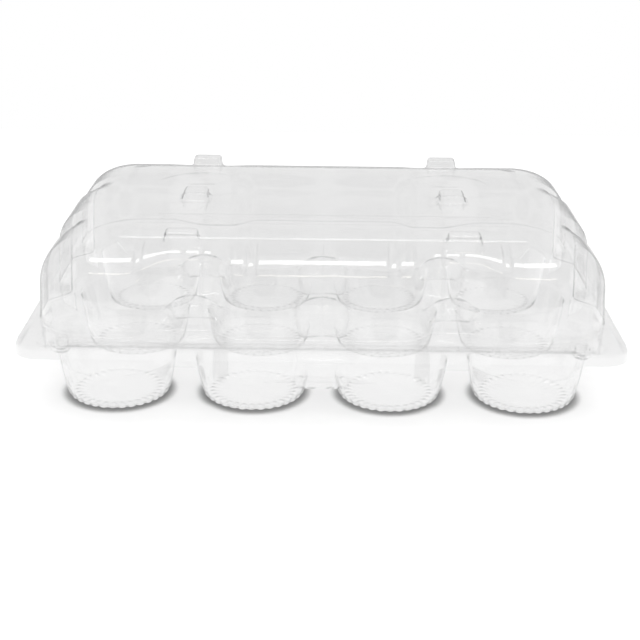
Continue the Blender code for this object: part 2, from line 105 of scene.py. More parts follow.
# The shoulder's fullness: 2 is round, more is squarer. The ends are fullest at their middle.
FRONT_FULLNESS, SIDE_FULLNESS, CORNER_FULLNESS = 2.0, 2.8, 2.3
FULL_UNTIL_Y, FULLNESS_FADE = 20.0 * MM, 40.0 * MM
RECESS, RECESS_EDGES = 13.5 * MM, np.array([48.0, 66.0, 84.0, 112.0]) * MM
VALLEY, VALLEY_WIDTH = 11.0 * MM, 18.0 * MM

# Ribs of the front wall: where and how wide. They are deep on the shoulder and shallow below it.
RIBS = ((40.0 * MM, 5.5 * MM), (104.0 * MM, 4.2 * MM))
RIB_DEPTH, RIB_START, RIB_EDGE = 2.2 * MM, 5.0 * MM, 0.55
LOW_RIB_PART, RIB_FADE_Z, RIB_FADE = 0.25, FLANGE_Z + 30.0 * MM, 9.0 * MM
CREASES = (68.5 * MM, 79.0 * MM)
CREASE_DEPTH, CREASE_WIDTH, CREASE_START = 1.1 * MM, 0.9 * MM, 12.0 * MM
RIB_FOOT_Z, RIB_FOOT_FADE = 1.0 * MM, 4.0 * MM

# Faint shapes in the top panel: rings over the cups and short stops across them
RING_Y, RING_RADIUS, RING_WIDTH, RING_DEPTH = 35.0 * MM, 29.0 * MM, 2.2 * MM, 0.22 * MM
STOP_HALF_X, STOP_HALF_Y, STOP_EDGE, STOP_DEPTH = 10.0 * MM, 2.0 * MM, 2.0 * MM, 0.3 * MM

# Stacking lugs: place, y, width, length. Then millimetres grown and fallen from the lug's top, and
# at the soft foot millimetres grown and the part of the way up.
LUG_HEIGHT, LUG_CORNER = 6.0 * MM, 2.6 * MM
LUGS = (
    ("front", -86.0 * MM, 19.0 * MM, 11.0 * MM),
    ("middle", 0.0, 15.5 * MM, 17.0 * MM),
    ("back", 86.0 * MM, 19.0 * MM, 11.0 * MM),
)
LUG_TOP = ((-2.55, 0), (-2.2, 0.02), (-1.6, 0.18), (-1.05, 0.5), (-0.55, 1.0), (-0.2, 1.65), (0.0, 2.4))
LUG_FOOT = ((0.2, 0.31), (0.5, 0.18), (0.95, 0.085), (1.6, 0.025), (2.4, 0.0))
LUG_LIFT = 0.06 * MM

# Living hinge: its profile across the back edge, y and z in millimetres
HINGE_HALF_X, HINGE_SHEET = 122.0 * MM, 0.15 * MM
HINGE_PROFILE = (
    *((127.6, 46.12), (129.0, 46.1), (130.2, 46.05), (130.8, 46.12), (131.05, 46.35)),
    *((131.1, 46.6), (131.0, 46.85), (130.5, 47.02), (129.4, 47.02), (128.2, 47.0)),
)

# Mesh
WELD = 0.01 * MM
SHARP = math.radians(50)


# ---- Heights and outlines, on arrays ----


def smooth(t):
    t = np.clip(t, 0.0, 1.0)
    return t * t * (3 - 2 * t)


def mix(a, b, t):
    return a + (b - a) * t


def past_panel(x, y):
    """Distance outside the lid's top panel."""
    qx, qy = np.abs(x) - (PANEL_X - PANEL_CORNER), np.abs(y) - (PANEL_Y - PANEL_CORNER)
    outside = np.hypot(np.maximum(qx, 0), np.maximum(qy, 0))
    return outside + np.minimum(np.maximum(qx, qy), 0) - PANEL_CORNER


def lobe_inset(x, y):
    """How far the outline is drawn in between two lobes."""
    qx, qy = np.abs(x) - (PANEL_X - PANEL_CORNER), np.abs(y) - (PANEL_Y - PANEL_CORNER)
    a, b, c, d = RECESS_EDGES
    front = RECESS * (smooth((np.abs(x) - a) / (b - a)) - smooth((np.abs(x) - c) / (d - c)))
    off = np.min([np.abs(y - seam) for seam in ROW_SEAMS], axis=0) / VALLEY_WIDTH
    side = VALLEY * 0.5 * (1 + np.cos(math.pi * np.minimum(off, 1.0)))
    return np.where(qy >= qx, front, side)


def inside_outline(x, y):
    return TRAY_WALL - lobe_inset(x, y) - past_panel(x, y)


def wall_height(x, y):
    return FLANGE_Z - TRAY_SLOPE * np.maximum(inside_outline(x, y), 0.0)


def cup_height(distance):
    out = np.maximum((distance - FLOOR_RADIUS) / (MOUTH_RADIUS - FLOOR_RADIUS), 0.0)
    return mix(FLOOR_Z, FLANGE_Z, out**FLARE)


def deck_height(x, y):
    """Deck between the cups: raised islands where four meet, lower saddles between two."""
    off_column = np.min([np.abs(x - seam) for seam in COLUMN_SEAMS], axis=0)
    off_row = np.min([np.abs(y - seam) for seam in ROW_SEAMS], axis=0)
    ledge = smooth((np.abs(y) - SPINE_LEDGE_Y) / (1.5 * MM))
    spine = np.where(np.abs(x) < COLUMN_PITCH / 2, mix(SPINE, SPINE_LEDGE, ledge), COLUMN_SADDLE)
    depth = mix(ROW_SADDLE, spine, smooth((off_row - off_column) / SADDLE_BLEND + 0.5))
    from_island = np.hypot(off_column, off_row) - ISLAND_TOP
    return FLANGE_Z - mix(ISLAND_DEPTH, depth, smooth(from_island / (ISLAND_FOOT - ISLAND_TOP)))


# ---- Mesh helpers ----


def link(name, points, faces, body, material, nodes, thickness=SHEET):
    """A piece of clear sheet from its show face, thickened behind it."""
    mesh = bpy.data.meshes.new(name)
    mesh.from_pydata(np.asarray(points).tolist(), [], faces)
    bm = bmesh.new()
    bm.from_mesh(mesh)
    bmesh.ops.remove_doubles(bm, verts=bm.verts, dist=WELD)
    bmesh.ops.dissolve_degenerate(bm, edges=bm.edges, dist=WELD)
    bmesh.ops.recalc_face_normals(bm, faces=bm.faces)
    if sum(face.normal.z * face.calc_area() for face in bm.faces) < 0:
        bmesh.ops.reverse_faces(bm, faces=bm.faces)
    for face in bm.faces:
        face.smooth = True
    for edge in bm.edges:
        # Free edges stay sharp, or the thin rim would bend the shading of the faces beside it.
        edge.smooth = not edge.is_boundary and edge.calc_face_angle(0.0) < SHARP
    bm.to_mesh(mesh)
    bm.free()
    piece = bpy.data.objects.new(name, mesh)
    bpy.context.scene.collection.objects.link(piece)
    sheet = piece.modifiers.new("sheet", "SOLIDIFY")
    sheet.thickness = thickness
    sheet.offset = -1.0
    mesh.materials.append(material)
    if body:
        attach(piece, body)
    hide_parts(*nodes)
    return piece


def strips(rows, first, closed=False):
    """Quads between equally long rows of points numbered from first on."""
    count, width = len(rows), len(rows[0])
    faces = []
    for i in range(count if closed else count - 1):
        here, after = first + i * width, first + (i + 1) % count * width
        faces += [(here + j, after + j, after + j + 1, here + j + 1) for j in range(width - 1)]
    return faces


def round_corner(path, at, cut, count):
    """Replaces the corner at index at of an (n, 2) path with a curve that starts cut before it."""
    before, corner, after = path[at - 1], path[at], path[at + 1]
    back, ahead = before - corner, after - corner
    reach_back = min(cut, 0.45 * np.hypot(*back))
    reach_ahead = min(cut, 0.45 * np.hypot(*ahead))
    a = corner + back / max(np.hypot(*back), 1e-9) * reach_back
    b = corner + ahead / max(np.hypot(*ahead), 1e-9) * reach_ahead
    t = np.linspace(0, 1, count)[:, None]
    curve = (1 - t) ** 2 * a + 2 * t * (1 - t) * corner + t**2 * b
    return np.vstack([path[:at], curve, path[at + 1 :]])


def rounded_rectangle(inset, z, steps=14):
    """Points round the flange's outline, drawn in by inset, anticlockwise from the right front."""
    radius = CORNER - min(inset, CORNER - 2 * MM)
    low = Vector((-HALF_X + inset, FRONT_Y + inset))
    high = Vector((HALF_X - inset, BACK_Y - min(inset, BACK_Y)))
    corners = ((high.x, low.y, -1), (high.x, high.y, 0), (low.x, high.y, 1), (low.x, low.y, 2))
    points = []
    for x, y, quarter in corners:
        cx, cy = x - math.copysign(radius, x), y - math.copysign(radius, y)
        for i in range(steps + 1):
            turn = math.pi / 2 * (quarter + i / steps)
            points.append((cx + radius * math.cos(turn), cy + radius * math.sin(turn), z))
    return np.array(points)


def circle(x, y, radius, z, count=40):
    turn = 2 * math.pi * np.arange(count) / count
    return np.column_stack([x + radius * np.cos(turn), y + radius * np.sin(turn), np.full(count, z)])


def turned(x, y, base, profile):
    """Spokes of points from a profile, in millimetres, turned about an upright axis."""
    around = [circle(x, y, radius * MM, base + height * MM) for radius, height in profile]
    return [list(spoke) for spoke in zip(*around, strict=True)]


# ---- Tray ----

# Rays from each cup's middle, their longest reach, and how finely they are searched for edges
RAY_COUNT, RAY_LIMIT = 192, 75.0 * MM
SAMPLES, SEAM_SAMPLES, FLANGE_SAMPLES = 900, 20000, 4000
FLANGE_NEAREST = 30.0 * MM
JUST_PAST = 1.0002

# Rows of points across a cup's floor, and up its wall, gathered towards the wall's foot
FLOOR_RADII = np.array([0.0, 9.0, 16.0, 20.0, 22.0, 23.5, 25.0, 26.3]) * MM
WALL_ROWS, WALL_GATHER = 15, 1.7


def crossing(values, reaches):
    """Where values first turn positive along each row, by linear interpolation."""
    hit = values > 0
    first = np.where(hit.any(axis=1), hit.argmax(axis=1), 0)
    rows = np.arange(len(values))
    before = np.maximum(first - 1, 0)
    v0, v1 = values[rows, before], values[rows, first]
    part = np.where(v1 > v0, -v0 / np.where(v1 > v0, v1 - v0, 1), 0)
    found = reaches[rows, before] + (reaches[rows, first] - reaches[rows, before]) * np.clip(part, 0, 1)
    return np.where(hit.any(axis=1), found, np.inf)


def seam_crossing(start, along, test):
    """How far along a seam between two cups a test first turns positive."""
    reach = np.linspace(0, RAY_LIMIT, SEAM_SAMPLES)[None, :]
    x, y = start[0] + along[0] * reach, start[1] + along[1] * reach
    return crossing(test(x, y), reach)[0]


def ray_angles(column, row, cx, cy):
    """Even directions, with some turned to meet the corners of the cup's share of the deck."""
    exact = []
    for u in (-1, 1):
        for v in (-1, 1):
            beside, behind = 0 <= column + u < COLUMNS, 0 <= row + v < ROWS
            corner = (u * COLUMN_PITCH / 2, v * ROW_PITCH / 2)
            if beside and behind:
                exact.append(corner)
            elif beside or behind:
                start = (corner[0], 0.0) if beside else (0.0, corner[1])
                along = (0.0, v) if beside else (u, 0.0)
                for test in (
                    lambda x, y: wall_height(x, y) - deck_height(x, y),
                    lambda x, y: -inside_outline(x, y),
                    lambda x, y: -inside_outline(x, y) - LIP,
                ):
                    reach = seam_crossing((cx + start[0], cy + start[1]), along, test)
                    exact.append((start[0] + along[0] * reach, start[1] + along[1] * reach))
    angles = [math.atan2(y, x) for x, y in exact]
    even = 2 * math.pi * (np.arange(RAY_COUNT) + 0.5) / RAY_COUNT - math.pi
    clear = [turn for turn in even if all(abs(turn - other) > 0.3 / RAY_COUNT for other in angles)]
    return np.array(sorted(angles + clear))


def cup_rays(column, row):
    """Rows of points from a cup's centre to the edge of its share, and which end on the rim."""
    cx, cy = (column - (COLUMNS - 1) / 2) * COLUMN_PITCH, (row - (ROWS - 1) / 2) * ROW_PITCH
    angles = ray_angles(column, row, cx, cy)
    ux, uy = np.cos(angles), np.sin(angles)
    limit = np.full(len(angles), RAY_LIMIT)
    for toward, shared, pitch in (
        (ux, column < COLUMNS - 1, COLUMN_PITCH),
        (-ux, column > 0, COLUMN_PITCH),
        (uy, row < ROWS - 1, ROW_PITCH),
        (-uy, row > 0, ROW_PITCH),
    ):
        if shared:
            reach = np.where(toward > 1e-6, pitch / 2 / np.maximum(toward, 1e-6), np.inf)
            limit = np.minimum(limit, reach)
    reach = np.linspace(0, 1, SAMPLES)[None, :] * limit[:, None] * JUST_PAST
    x, y = cx + ux[:, None] * reach, cy + uy[:, None] * reach
    cup, deck, wall = cup_height(reach), deck_height(x, y), wall_height(x, y)
    brim = np.minimum(crossing(cup - np.minimum(deck, 1), reach), crossing(wall - cup, reach))
    foot = crossing(wall - np.minimum(deck, cup), reach)
    top = crossing(-inside_outline(x, y), reach)
    lip = crossing(-inside_outline(x, y) - LIP, reach)
    rows, on_rim = [], []
    for i, angle in enumerate(angles):
        end = min(limit[i], lip[i])
        knots = [min(value, end) for value in (brim[i], max(foot[i], brim[i] + 0.2 * MM), top[i], end)]
        rows.append(ray_points(cx, cy, angle, knots))
        on_rim.append(lip[i] <= limit[i] * 1.0001)
    return rows, on_rim


def ray_points(cx, cy, angle, knots):
    """One row of points: the cup's floor, foot and wall, the deck, the outer wall and the lip."""
    brim, foot, top, end = knots
    ux, uy = math.cos(angle), math.sin(angle)

    def surface(reach):
        x, y = cx + ux * reach, cy + uy * reach
        z = np.minimum(deck_height(x, y), cup_height(reach))
        return np.maximum(z, wall_height(x, y))

    heights = np.linspace(0.0, 1, WALL_ROWS)[1:] ** WALL_GATHER
    wall = FLOOR_RADIUS + (MOUTH_RADIUS - FLOOR_RADIUS) * heights ** (1 / FLARE)
    brim_part = (brim - FLOOR_RADIUS) / (wall[-1] - FLOOR_RADIUS)
    wall = FLOOR_RADIUS + (wall - FLOOR_RADIUS) * max(brim_part, 0.02)
    cup = np.concatenate([FLOOR_RADII, wall])
    deck = np.linspace(brim, foot, 7)[1:]
    rise = np.linspace(foot, top, 4)[1:]
    reach = np.concatenate([cup, deck, rise, [end]])
    path = np.column_stack([reach, surface(reach)])
    if end > top:
        path[-1, 1] = FLANGE_Z
    brim_at, foot_at, top_at = len(cup) - 1, len(cup) + len(deck) - 1, len(reach) - 2
    path = round_corner(path, top_at, TOP_ROUND, 5)
    path = round_corner(path, foot_at, FOOT_ROUND, 5)
    path = round_corner(path, brim_at, BRIM_ROUND, 7)
    # The scallops: the foot's edge swells in and out, most at its corner.
    near = np.exp(-(((path[:, 0] - SCALLOP_RADIUS) / SCALLOP_WIDTH) ** 2)) * (path[:, 1] < SCALLOP_TOP)
    ridge = abs(math.cos(SCALLOPS * angle / 2)) - MEAN_RIDGE
    path[:, 0] += SCALLOP_DEPTH * near * ridge
    lift = np.exp(-(((path[:, 0] - BEAD_RADIUS) / BEAD_WIDTH) ** 2))
    path[:, 1] += BEAD_HEIGHT * lift * (MEAN_RIDGE + ridge)
    x, y = cx + ux * path[:, 0], cy + uy * path[:, 0]
    return np.column_stack([x, y, path[:, 1]])


def build_tray(material):
    points, faces, rim = [], [], []
    total = 0
    for row in range(ROWS):
        for column in range(COLUMNS):
            rows, on_rim = cup_rays(column, row)
            faces += strips(rows, total, closed=True)
            points += rows
            total += len(rows) * len(rows[0])
            rim += [line[-1] for line, outside in zip(rows, on_rim, strict=True) if outside]
    points = np.vstack(points)
    rim = sorted({(round(p[0], 6), round(p[1], 6)) for p in rim}, key=lambda p: math.atan2(p[1], p[0]))
    # The flat of the flange, then its bead, its rolled edge and the skirt.
    loops = [rounded_rectangle(inset * MM, FLANGE_Z + rise * MM) for inset, rise in FLANGE_EDGE]
    plate = [np.array([(x, y, FLANGE_Z) for x, y in rim]), loops[0]]
    plate += [circle(side * SNAP_X, SNAP_Y, SNAP_RADIUS, FLANGE_Z) for side in (-1, 1)]
    flat_points, flat_faces = fill(plate)
    faces += [tuple(i + total for i in face) for face in flat_faces]
    points = np.vstack([points, flat_points])
    total = len(points)
    around = [list(line) for line in zip(*loops, strict=True)]
    faces += strips(around, total, closed=True)
    points = np.vstack([points, np.vstack(around)])
    total = len(points)
    for side in (-1, 1):
        spokes = turned(side * SNAP_X, SNAP_Y, FLANGE_Z, SOCKET_PROFILE)
        faces += strips(spokes, total, closed=True)
        points = np.vstack([points, np.vstack(spokes)])
        total = len(points)
    nodes = [f"cup_row{r + 1}_column{c + 1}" for r in range(ROWS) for c in range(COLUMNS)]
    nodes += ["tray_flange", "snap_socket_left", "snap_socket_right"]
    link("tray_sheet", points, faces, "tray", material, nodes)


def fill(loops):
    """Flat triangles between the first two loops, and round the others."""
    bm = bmesh.new()
    edges = []
    for loop in loops:
        made = [bm.verts.new(point) for point in loop]
        edges += [bm.edges.new(pair) for pair in zip(made, made[1:] + made[:1], strict=True)]
    bm.verts.index_update()
    bmesh.ops.triangle_fill(bm, use_beauty=True, use_dissolve=False, edges=edges)
    points = [tuple(vert.co) for vert in bm.verts]
    faces = [tuple(vert.index for vert in face.verts) for face in bm.faces]
    bm.free()
    return points, faces


# ---- Lid ----


def lid_top_height(x, y):
    """The flat top: a step at its edge, and faint rings and stops pressed into it."""
    inside = -past_panel(x, y)
    step_width = mix(EDGE_WIDTH, END_EDGE_WIDTH, smooth((np.abs(x) - END_EDGE_X) / END_EDGE_FADE))
    z = PANEL_Z - EDGE_STEP * (1 - smooth(inside / step_width))
    for cx in (-COLUMN_PITCH, COLUMN_PITCH):
        for cy in (-RING_Y, RING_Y):
            off_ring = np.abs(np.hypot(x - cx, y - cy) - RING_RADIUS)
            z = z - RING_DEPTH * np.exp(-((off_ring / RING_WIDTH) ** 2))
            off_stop = np.maximum(np.abs(x - cx) - STOP_HALF_X, np.abs(y - cy) - STOP_HALF_Y)
            z = z - STOP_DEPTH * smooth(-off_stop / STOP_EDGE)
    return z


def lid_surface(x, y):
    """Upper face of the lid over its top and shoulders."""
    out = past_panel(x, y)
    span = SHOULDER - lobe_inset(x, y)
    drop = EDGE_STEP + span * (1 - np.sqrt(np.clip(1 - (np.maximum(out, 0) / span) ** 2, 0, 1)))
    return np.where(out <= 0, lid_top_height(x, y), PANEL_Z - drop)


def rib(x):
    """1 in the middle of a rib of the front wall, fading to 0 beside it."""
    return sum(np.exp(-(((abs(x) - at) / (RIB_EDGE * width)) ** 4)) for at, width in RIBS)


def lid_station(edge, outward, ribbed):
    """One upright section of the lid from the panel's edge to the flange's outer edge."""
    side = edge + outward * SHOULDER
    span = SHOULDER - float(lobe_inset(side[0], side[1]))
    towards_corner = smooth((abs(edge[1]) - FULL_UNTIL_Y) / FULLNESS_FADE)
    end_fullness = mix(SIDE_FULLNESS, CORNER_FULLNESS, towards_corner)
    power = 2 / mix(FRONT_FULLNESS, end_fullness, abs(outward[0]))
    turn = np.linspace(0, math.pi / 2, 20)
    sine, cosine = np.sin(turn), np.clip(np.cos(turn), 0, 1)
    out = span * sine**power
    z = PANEL_Z - EDGE_STEP - (span - SHOULDER_FLATTENED) * (1 - cosine**power)
    low = np.linspace(z[-1], LID_FOOT_Z + WALL_END, 8)[1:]
    out = np.concatenate([out, span + WALL_FLARE * (z[-1] - low) / (z[-1] - LID_FOOT_Z)])
    z = np.concatenate([z, low])
    if ribbed:
        x = abs(edge[0])
        over_foot = smooth((z - LID_FOOT_Z - RIB_FOOT_Z) / RIB_FOOT_FADE)
        fade = mix(LOW_RIB_PART, 1.0, smooth((z - RIB_FADE_Z) / RIB_FADE)) * smooth(out / RIB_START)
        groove = RIB_DEPTH * rib(x) * fade * over_foot
        crease = sum(np.exp(-(((x - at) / CREASE_WIDTH) ** 2)) for at in CREASES)
        groove = groove + CREASE_DEPTH * crease * smooth(out / CREASE_START) * over_foot
        # Straight into the sheet: across the shoulder's turn, then level on the wall.
        level = np.concatenate([np.sin(turn), np.ones(len(low))])
        upright = np.concatenate([np.cos(turn), np.zeros(len(low))])
        out, z = out - level * groove, z - upright * groove
    foot = span + WALL_FLARE
    out = np.concatenate([out, foot + FILLET_OUT])
    z = np.concatenate([z, LID_FOOT_Z + FILLET_UP])
    line = np.column_stack([edge[0] + outward[0] * out, edge[1] + outward[1] * out, z])
    rim = flange_point(edge, outward)
    start = line[-1, :2]
    flat = [mix(start, rim, part) for part in FLANGE_PARTS]
    return np.vstack([line, [[x, y, LID_FOOT_Z] for x, y in flat]])


def flange_point(edge, outward):
    """Where a line from the panel's edge leaves the lid flange's rounded outline."""
    inset = LID_FLANGE_INSET
    reach = np.linspace(FLANGE_NEAREST, RAY_LIMIT, FLANGE_SAMPLES)
    x, y = edge[0] + outward[0] * reach, edge[1] + outward[1] * reach
    centre_y, half_y = (FRONT_Y + inset + BACK_Y) / 2, (BACK_Y - FRONT_Y - inset) / 2
    qx, qy = np.abs(x) - (HALF_X - inset - CORNER), np.abs(y - centre_y) - (half_y - CORNER)
    gap = np.hypot(np.maximum(qx, 0), np.maximum(qy, 0)) + np.minimum(np.maximum(qx, qy), 0) - CORNER
    at = int(np.argmax(gap > 0))
    return np.array([x[at], y[at]])


# Where the panel's rounded border has rows of points, as parts of the way to its edge
PANEL_PARTS = (0.0, 0.3, 0.55, 0.7, 0.76, 0.82, 0.87, 0.92, 0.96)


def front_stations(half):
    """Places along the front, closer together at each rib's edges and at each crease."""
    fine = np.arange(-2.4, 2.41, 0.4) * MM
    centres = [at + side * RIB_EDGE * width for at, width in RIBS for side in (-1, 1)] + list(CREASES)
    places = [np.linspace(-half, half, 121)] + [side * at + fine for at in centres for side in (-1, 1)]
    places = np.unique(np.round(np.concatenate(places), 5))
    keep = np.concatenate([[True], np.diff(places) > 0.2 * MM])
    return places[keep & (np.abs(places) < half + 1e-6)]


def build_lid(material):
    core_x, core_y = PANEL_X - PANEL_CORNER, PANEL_Y - PANEL_CORNER
    xs, ys = front_stations(core_x), np.linspace(-core_y, core_y, 75)
    arc = np.linspace(0, math.pi / 2, 16)[1:-1]
    stations = [((x, -core_y), (0.0, -1.0), True) for x in xs]
    stations += [((core_x, -core_y), (math.sin(t), -math.cos(t)), False) for t in arc]
    stations += [((core_x, y), (1.0, 0.0), False) for y in ys]
    stations += [((core_x, core_y), (math.cos(t), math.sin(t)), False) for t in arc]
    stations += [((x, core_y), (0.0, 1.0), False) for x in xs[::-1]]
    stations += [((-core_x, core_y), (-math.sin(t), math.cos(t)), False) for t in arc]
    stations += [((-core_x, y), (-1.0, 0.0), False) for y in ys[::-1]]
    stations += [((-core_x, -core_y), (-math.cos(t), -math.sin(t)), False) for t in arc]
    rows = []
    for core, outward, ribbed in stations:
        core, outward = np.array(core), np.array(outward)
        border = [core + outward * PANEL_CORNER * part for part in PANEL_PARTS]
        inner = np.array([(x, y, lid_top_height(x, y)) for x, y in border])
        rows.append(np.vstack([inner, lid_station(core + outward * PANEL_CORNER, outward, ribbed)]))
    faces = strips(rows, 0, closed=True)
    points = np.vstack(rows)
    total = len(points)
    gx, gy = np.meshgrid(xs, ys, indexing="ij")
    grid = np.dstack([gx, gy, lid_top_height(gx, gy)])
    faces += strips(list(grid), total)
    points = np.vstack([points, grid.reshape(-1, 3)])
    nodes = ["lid_top_panel", "lid_flange"]
    nodes += [f"lid_{side}_wall" for side in ("front", "back", "left", "right")]
    link("lid_sheet", points, faces, "lid", material, nodes)


def lug_loop(x, y, width, length, grow, corner_steps=8, side_steps=6):
    """A rounded rectangle round a lug, grown outwards."""
    centre, half = np.array((x, y)), np.array((width / 2 - LUG_CORNER, length / 2 - LUG_CORNER))
    corners = ((1, -1, -1), (1, 1, 0), (-1, 1, 1), (-1, -1, 2))

    def on_corner(which, part):
        u, v, quarter = corners[which % 4]
        turn = math.pi / 2 * (quarter + part)
        way = np.array((math.cos(turn), math.sin(turn)))
        return centre + half * (u, v) + way * (LUG_CORNER + grow)

    points = []
    for k in range(4):
        points += [on_corner(k, i / corner_steps) for i in range(corner_steps + 1)]
        points += [mix(points[-1], on_corner(k + 1, 0), i / side_steps) for i in range(1, side_steps)]
    return np.array(points)


def build_lug(name, x, y, width, length, material):
    """A hollow stacking lug that grows out of the lid's surface with a soft foot."""
    top = LID_Z + LUG_HEIGHT
    rows = []
    for grow, fall in LUG_TOP:
        loop = lug_loop(x, y, width, length, grow * MM)
        rows.append(np.column_stack([loop, np.full(len(loop), top - fall * MM)]))
    for grow, part in LUG_FOOT:
        loop = lug_loop(x, y, width, length, grow * MM)
        ground = lid_surface(loop[:, 0], loop[:, 1]) + LUG_LIFT
        rows.append(np.column_stack([loop, ground + part * (top - ground)]))
    around = [list(line) for line in zip(*rows, strict=True)]
    faces = strips(around, 0, closed=True)
    faces.append(tuple(i * len(rows) for i in range(len(around))))
    link(name, np.vstack(around), faces, "lid", material, [name])


def build_lugs(material):
    for place, y, width, length in LUGS:
        for side, word in ((-1, "left"), (1, "right")):
            name = f"stacking_lug_{place}_{word}"
            build_lug(name, side * COLUMN_PITCH, y, width, length, material)


def build_studs(material):
    for side, word in ((-1, "left"), (1, "right")):
        name = f"snap_stud_{word}"
        spokes = turned(side * SNAP_X, SNAP_Y, LID_FOOT_Z, STUD_PROFILE)
        faces = strips(spokes, 0, closed=True)
        link(name, np.vstack(spokes), faces, "lid", material, [name])


def build_hinge(material):
    """The living hinge: one narrow strip that bends between the two flanges."""
    xs = np.linspace(-HINGE_HALF_X, HINGE_HALF_X, 62)
    rows = [[(x, y * MM, z * MM) for y, z in HINGE_PROFILE] for x in xs]
    points, faces = np.vstack(rows), strips(rows, 0)
    leaves = ["hinge_leaf_tray", "hinge_leaf_lid"]
    piece = link("living_hinge", points, faces, None, material, leaves, HINGE_SHEET)
    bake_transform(piece)


# ---- Materials ----


def node(tree, kind, x=0, y=0, **inputs):
    made = tree.nodes.new(kind)
    made.location = (x, y)
    for key, value in inputs.items():
        made.inputs[key.replace("_", " ")].default_value = value
    return made


def math_node(tree, operation, a, b=None, clamp=False):
    made = tree.nodes.new("ShaderNodeMath")
    made.operation = operation
    made.use_clamp = clamp
    for slot, value in enumerate((a, b)):
        if value is None:
            continue
        if isinstance(value, (int, float)):
            made.inputs[slot].default_value = value
        else:
            tree.links.new(value, made.inputs[slot])
    return made.outputs[0]


def ramp_value(tree, value, low, high, to_low=0.0, to_high=1.0):
    """A smooth step of value between low and high."""
    made = tree.nodes.new("ShaderNodeMapRange")
    made.interpolation_type = "SMOOTHSTEP"
    tree.links.new(value, made.inputs["Value"])
    made.inputs["From Min"].default_value, made.inputs["From Max"].default_value = low, high
    made.inputs["To Min"].default_value, made.inputs["To Max"].default_value = to_low, to_high
    return made.outputs["Result"]


def noise(tree, coords, scale, detail, stretch=None):
    made = node(tree, "ShaderNodeTexNoise", -1100, 0, Scale=scale, Detail=detail)
    if stretch:
        mapping = tree.nodes.new("ShaderNodeMapping")
        mapping.inputs["Scale"].default_value = stretch
        tree.links.new(coords, mapping.inputs["Vector"])
        coords = mapping.outputs[0]
    tree.links.new(coords, made.inputs["Vector"])
    return made.outputs["Fac"]


def clear_sheet(name, haze, waves, dark_from, edge):
    """Thin clear plastic: see-through, tinted by edge where it is seen edge-on, with a glossy coat."""
    material = bpy.data.materials.new(name)
    material.use_nodes = True
    tree = material.node_tree
    tree.nodes.clear()
    output = node(tree, "ShaderNodeOutputMaterial", 900)
    coords = node(tree, "ShaderNodeTexCoord", -1400).outputs["Object"]

    # Waviness of the formed sheet, and fine draw lines down the walls.
    warp = noise(tree, coords, 38.0, 2.0)
    lines = noise(tree, coords, 1.0, 3.0, stretch=(420.0, 420.0, 9.0))
    height = math_node(tree, "ADD", warp, math_node(tree, "MULTIPLY", lines, 0.14))
    bump = node(tree, "ShaderNodeBump", -500, -200, Strength=waves, Distance=0.0012)
    tree.links.new(height, bump.inputs["Height"])

    facing = node(tree, "ShaderNodeLayerWeight", -800, 400, Blend=0.5)
    tree.links.new(bump.outputs["Normal"], facing.inputs["Normal"])
    steep = math_node(tree, "POWER", facing.outputs["Facing"], 5.0)
    reflect = math_node(tree, "ADD", math_node(tree, "MULTIPLY", steep, 0.7), 0.05, clamp=True)
    edge_on = ramp_value(tree, facing.outputs["Facing"], dark_from, 1.0)

    tint = tree.nodes.new("ShaderNodeMix")
    tint.data_type = "RGBA"
    tint.inputs["A"].default_value = (0.995, 0.995, 0.995, 1)
    tint.inputs["B"].default_value = (*edge, 1)
    tree.links.new(edge_on, tint.inputs["Factor"])
    through = node(tree, "ShaderNodeBsdfTransparent", 200, 200)
    tree.links.new(tint.outputs["Result"], through.inputs["Color"])

    gloss = node(tree, "ShaderNodeBsdfGlossy", 200, 0)
    gloss.inputs["Color"].default_value = (1, 1, 1, 1)
    roughness = ramp_value(tree, noise(tree, coords, 240.0, 4.0), 0.2, 0.8, 0.04, 0.12)
    tree.links.new(roughness, gloss.inputs["Roughness"])
    tree.links.new(bump.outputs["Normal"], gloss.inputs["Normal"])

    mist = node(tree, "ShaderNodeBsdfPrincipled", 200, -300, Roughness=0.35)
    mist.inputs["Base Color"].default_value = (1, 1, 1, 1)
    amount = ramp_value(tree, noise(tree, coords, 70.0, 3.0), 0.25, 0.75, haze * 0.4, haze * 1.6)
    hazed = tree.nodes.new("ShaderNodeMixShader")
    tree.links.new(amount, hazed.inputs["Fac"])
    tree.links.new(through.outputs[0], hazed.inputs[1])
    tree.links.new(mist.outputs[0], hazed.inputs[2])
    coat = tree.nodes.new("ShaderNodeMixShader")
    tree.links.new(reflect, coat.inputs["Fac"])
    tree.links.new(hazed.outputs[0], coat.inputs[1])
    tree.links.new(gloss.outputs[0], coat.inputs[2])
    tree.links.new(coat.outputs[0], output.inputs["Surface"])
    return material


# How bright the floor and the world are where they are seen through the carton. There the floor is a
# painted grey glow instead of being lit, painted brighter under its front.
BACKDROP, PAINTED_FRONT_GLOW, PAINTED_FRONT_GLOW_Y = 0.803, 0.928, -0.09
# The painted contact shadow, darkened into the floor's colour by ambient occlusion: how far a neighbour
# throws it, its darkest shade, and its range of openness
PAINTED_SHADOW_REACH, PAINTED_SHADOW_DARK, PAINTED_SHADOW_RANGE = 0.007, 0.3, (0.4, 0.97)


def seen_through(tree):
    """1 where a camera ray has already passed through clear sheet, otherwise 0."""
    path = tree.nodes.new("ShaderNodeLightPath")
    passed = math_node(tree, "GREATER_THAN", path.outputs["Transparent Depth"], 0.5)
    return math_node(tree, "MULTIPLY", passed, path.outputs["Is Camera Ray"])


